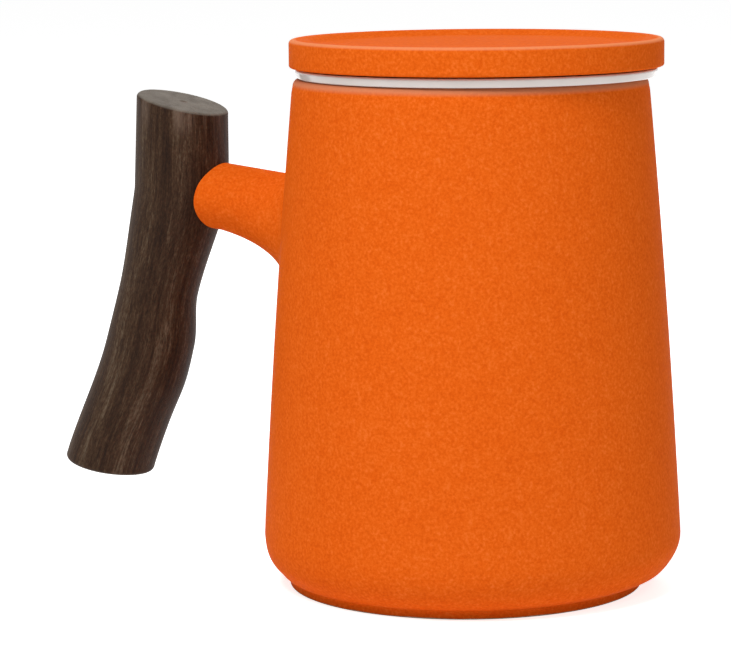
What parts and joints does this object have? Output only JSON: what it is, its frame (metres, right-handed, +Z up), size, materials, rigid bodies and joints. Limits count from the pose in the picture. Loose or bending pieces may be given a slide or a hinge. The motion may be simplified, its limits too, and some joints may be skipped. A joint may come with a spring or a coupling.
{
  "type": "lidded tea mug with infuser",
  "caption": "Tapered ceramic tea mug with a flat lid, a lift-out infuser hung from the rim and a wooden grip on a stub.",
  "frame": {"origin": "on the mug's axis, at the level of the table it stands on", "axes": "+Z up along the mug's axis; the handle lies along -X, in the XZ plane"},
  "size_m": [0.1558, 0.095, 0.1242],
  "materials": {
    "orange_ceramic": "matte glaze with fine speckle",
    "walnut": "dark, oiled, fine straight grain",
    "steel": "plain",
    "white_porcelain": "glossy glaze"
  },
  "bodies": {
    "mug": {"mug_body": "orange_ceramic", "handle_grip": "walnut", "handle_stud": "steel"},
    "infuser": {"infuser": "white_porcelain"},
    "lid": {"lid": "orange_ceramic"}
  },
  "joints": [
    {"name": "infuser_lift", "type": "slide", "parent": "mug", "child": "infuser", "axis": [0, 0, 1], "range_m": [0, 0.09]},
    {"name": "lid_lift", "type": "slide", "parent": "infuser", "child": "lid", "axis": [0, 0, 1], "range_m": [0, 0.04]}
  ]
}
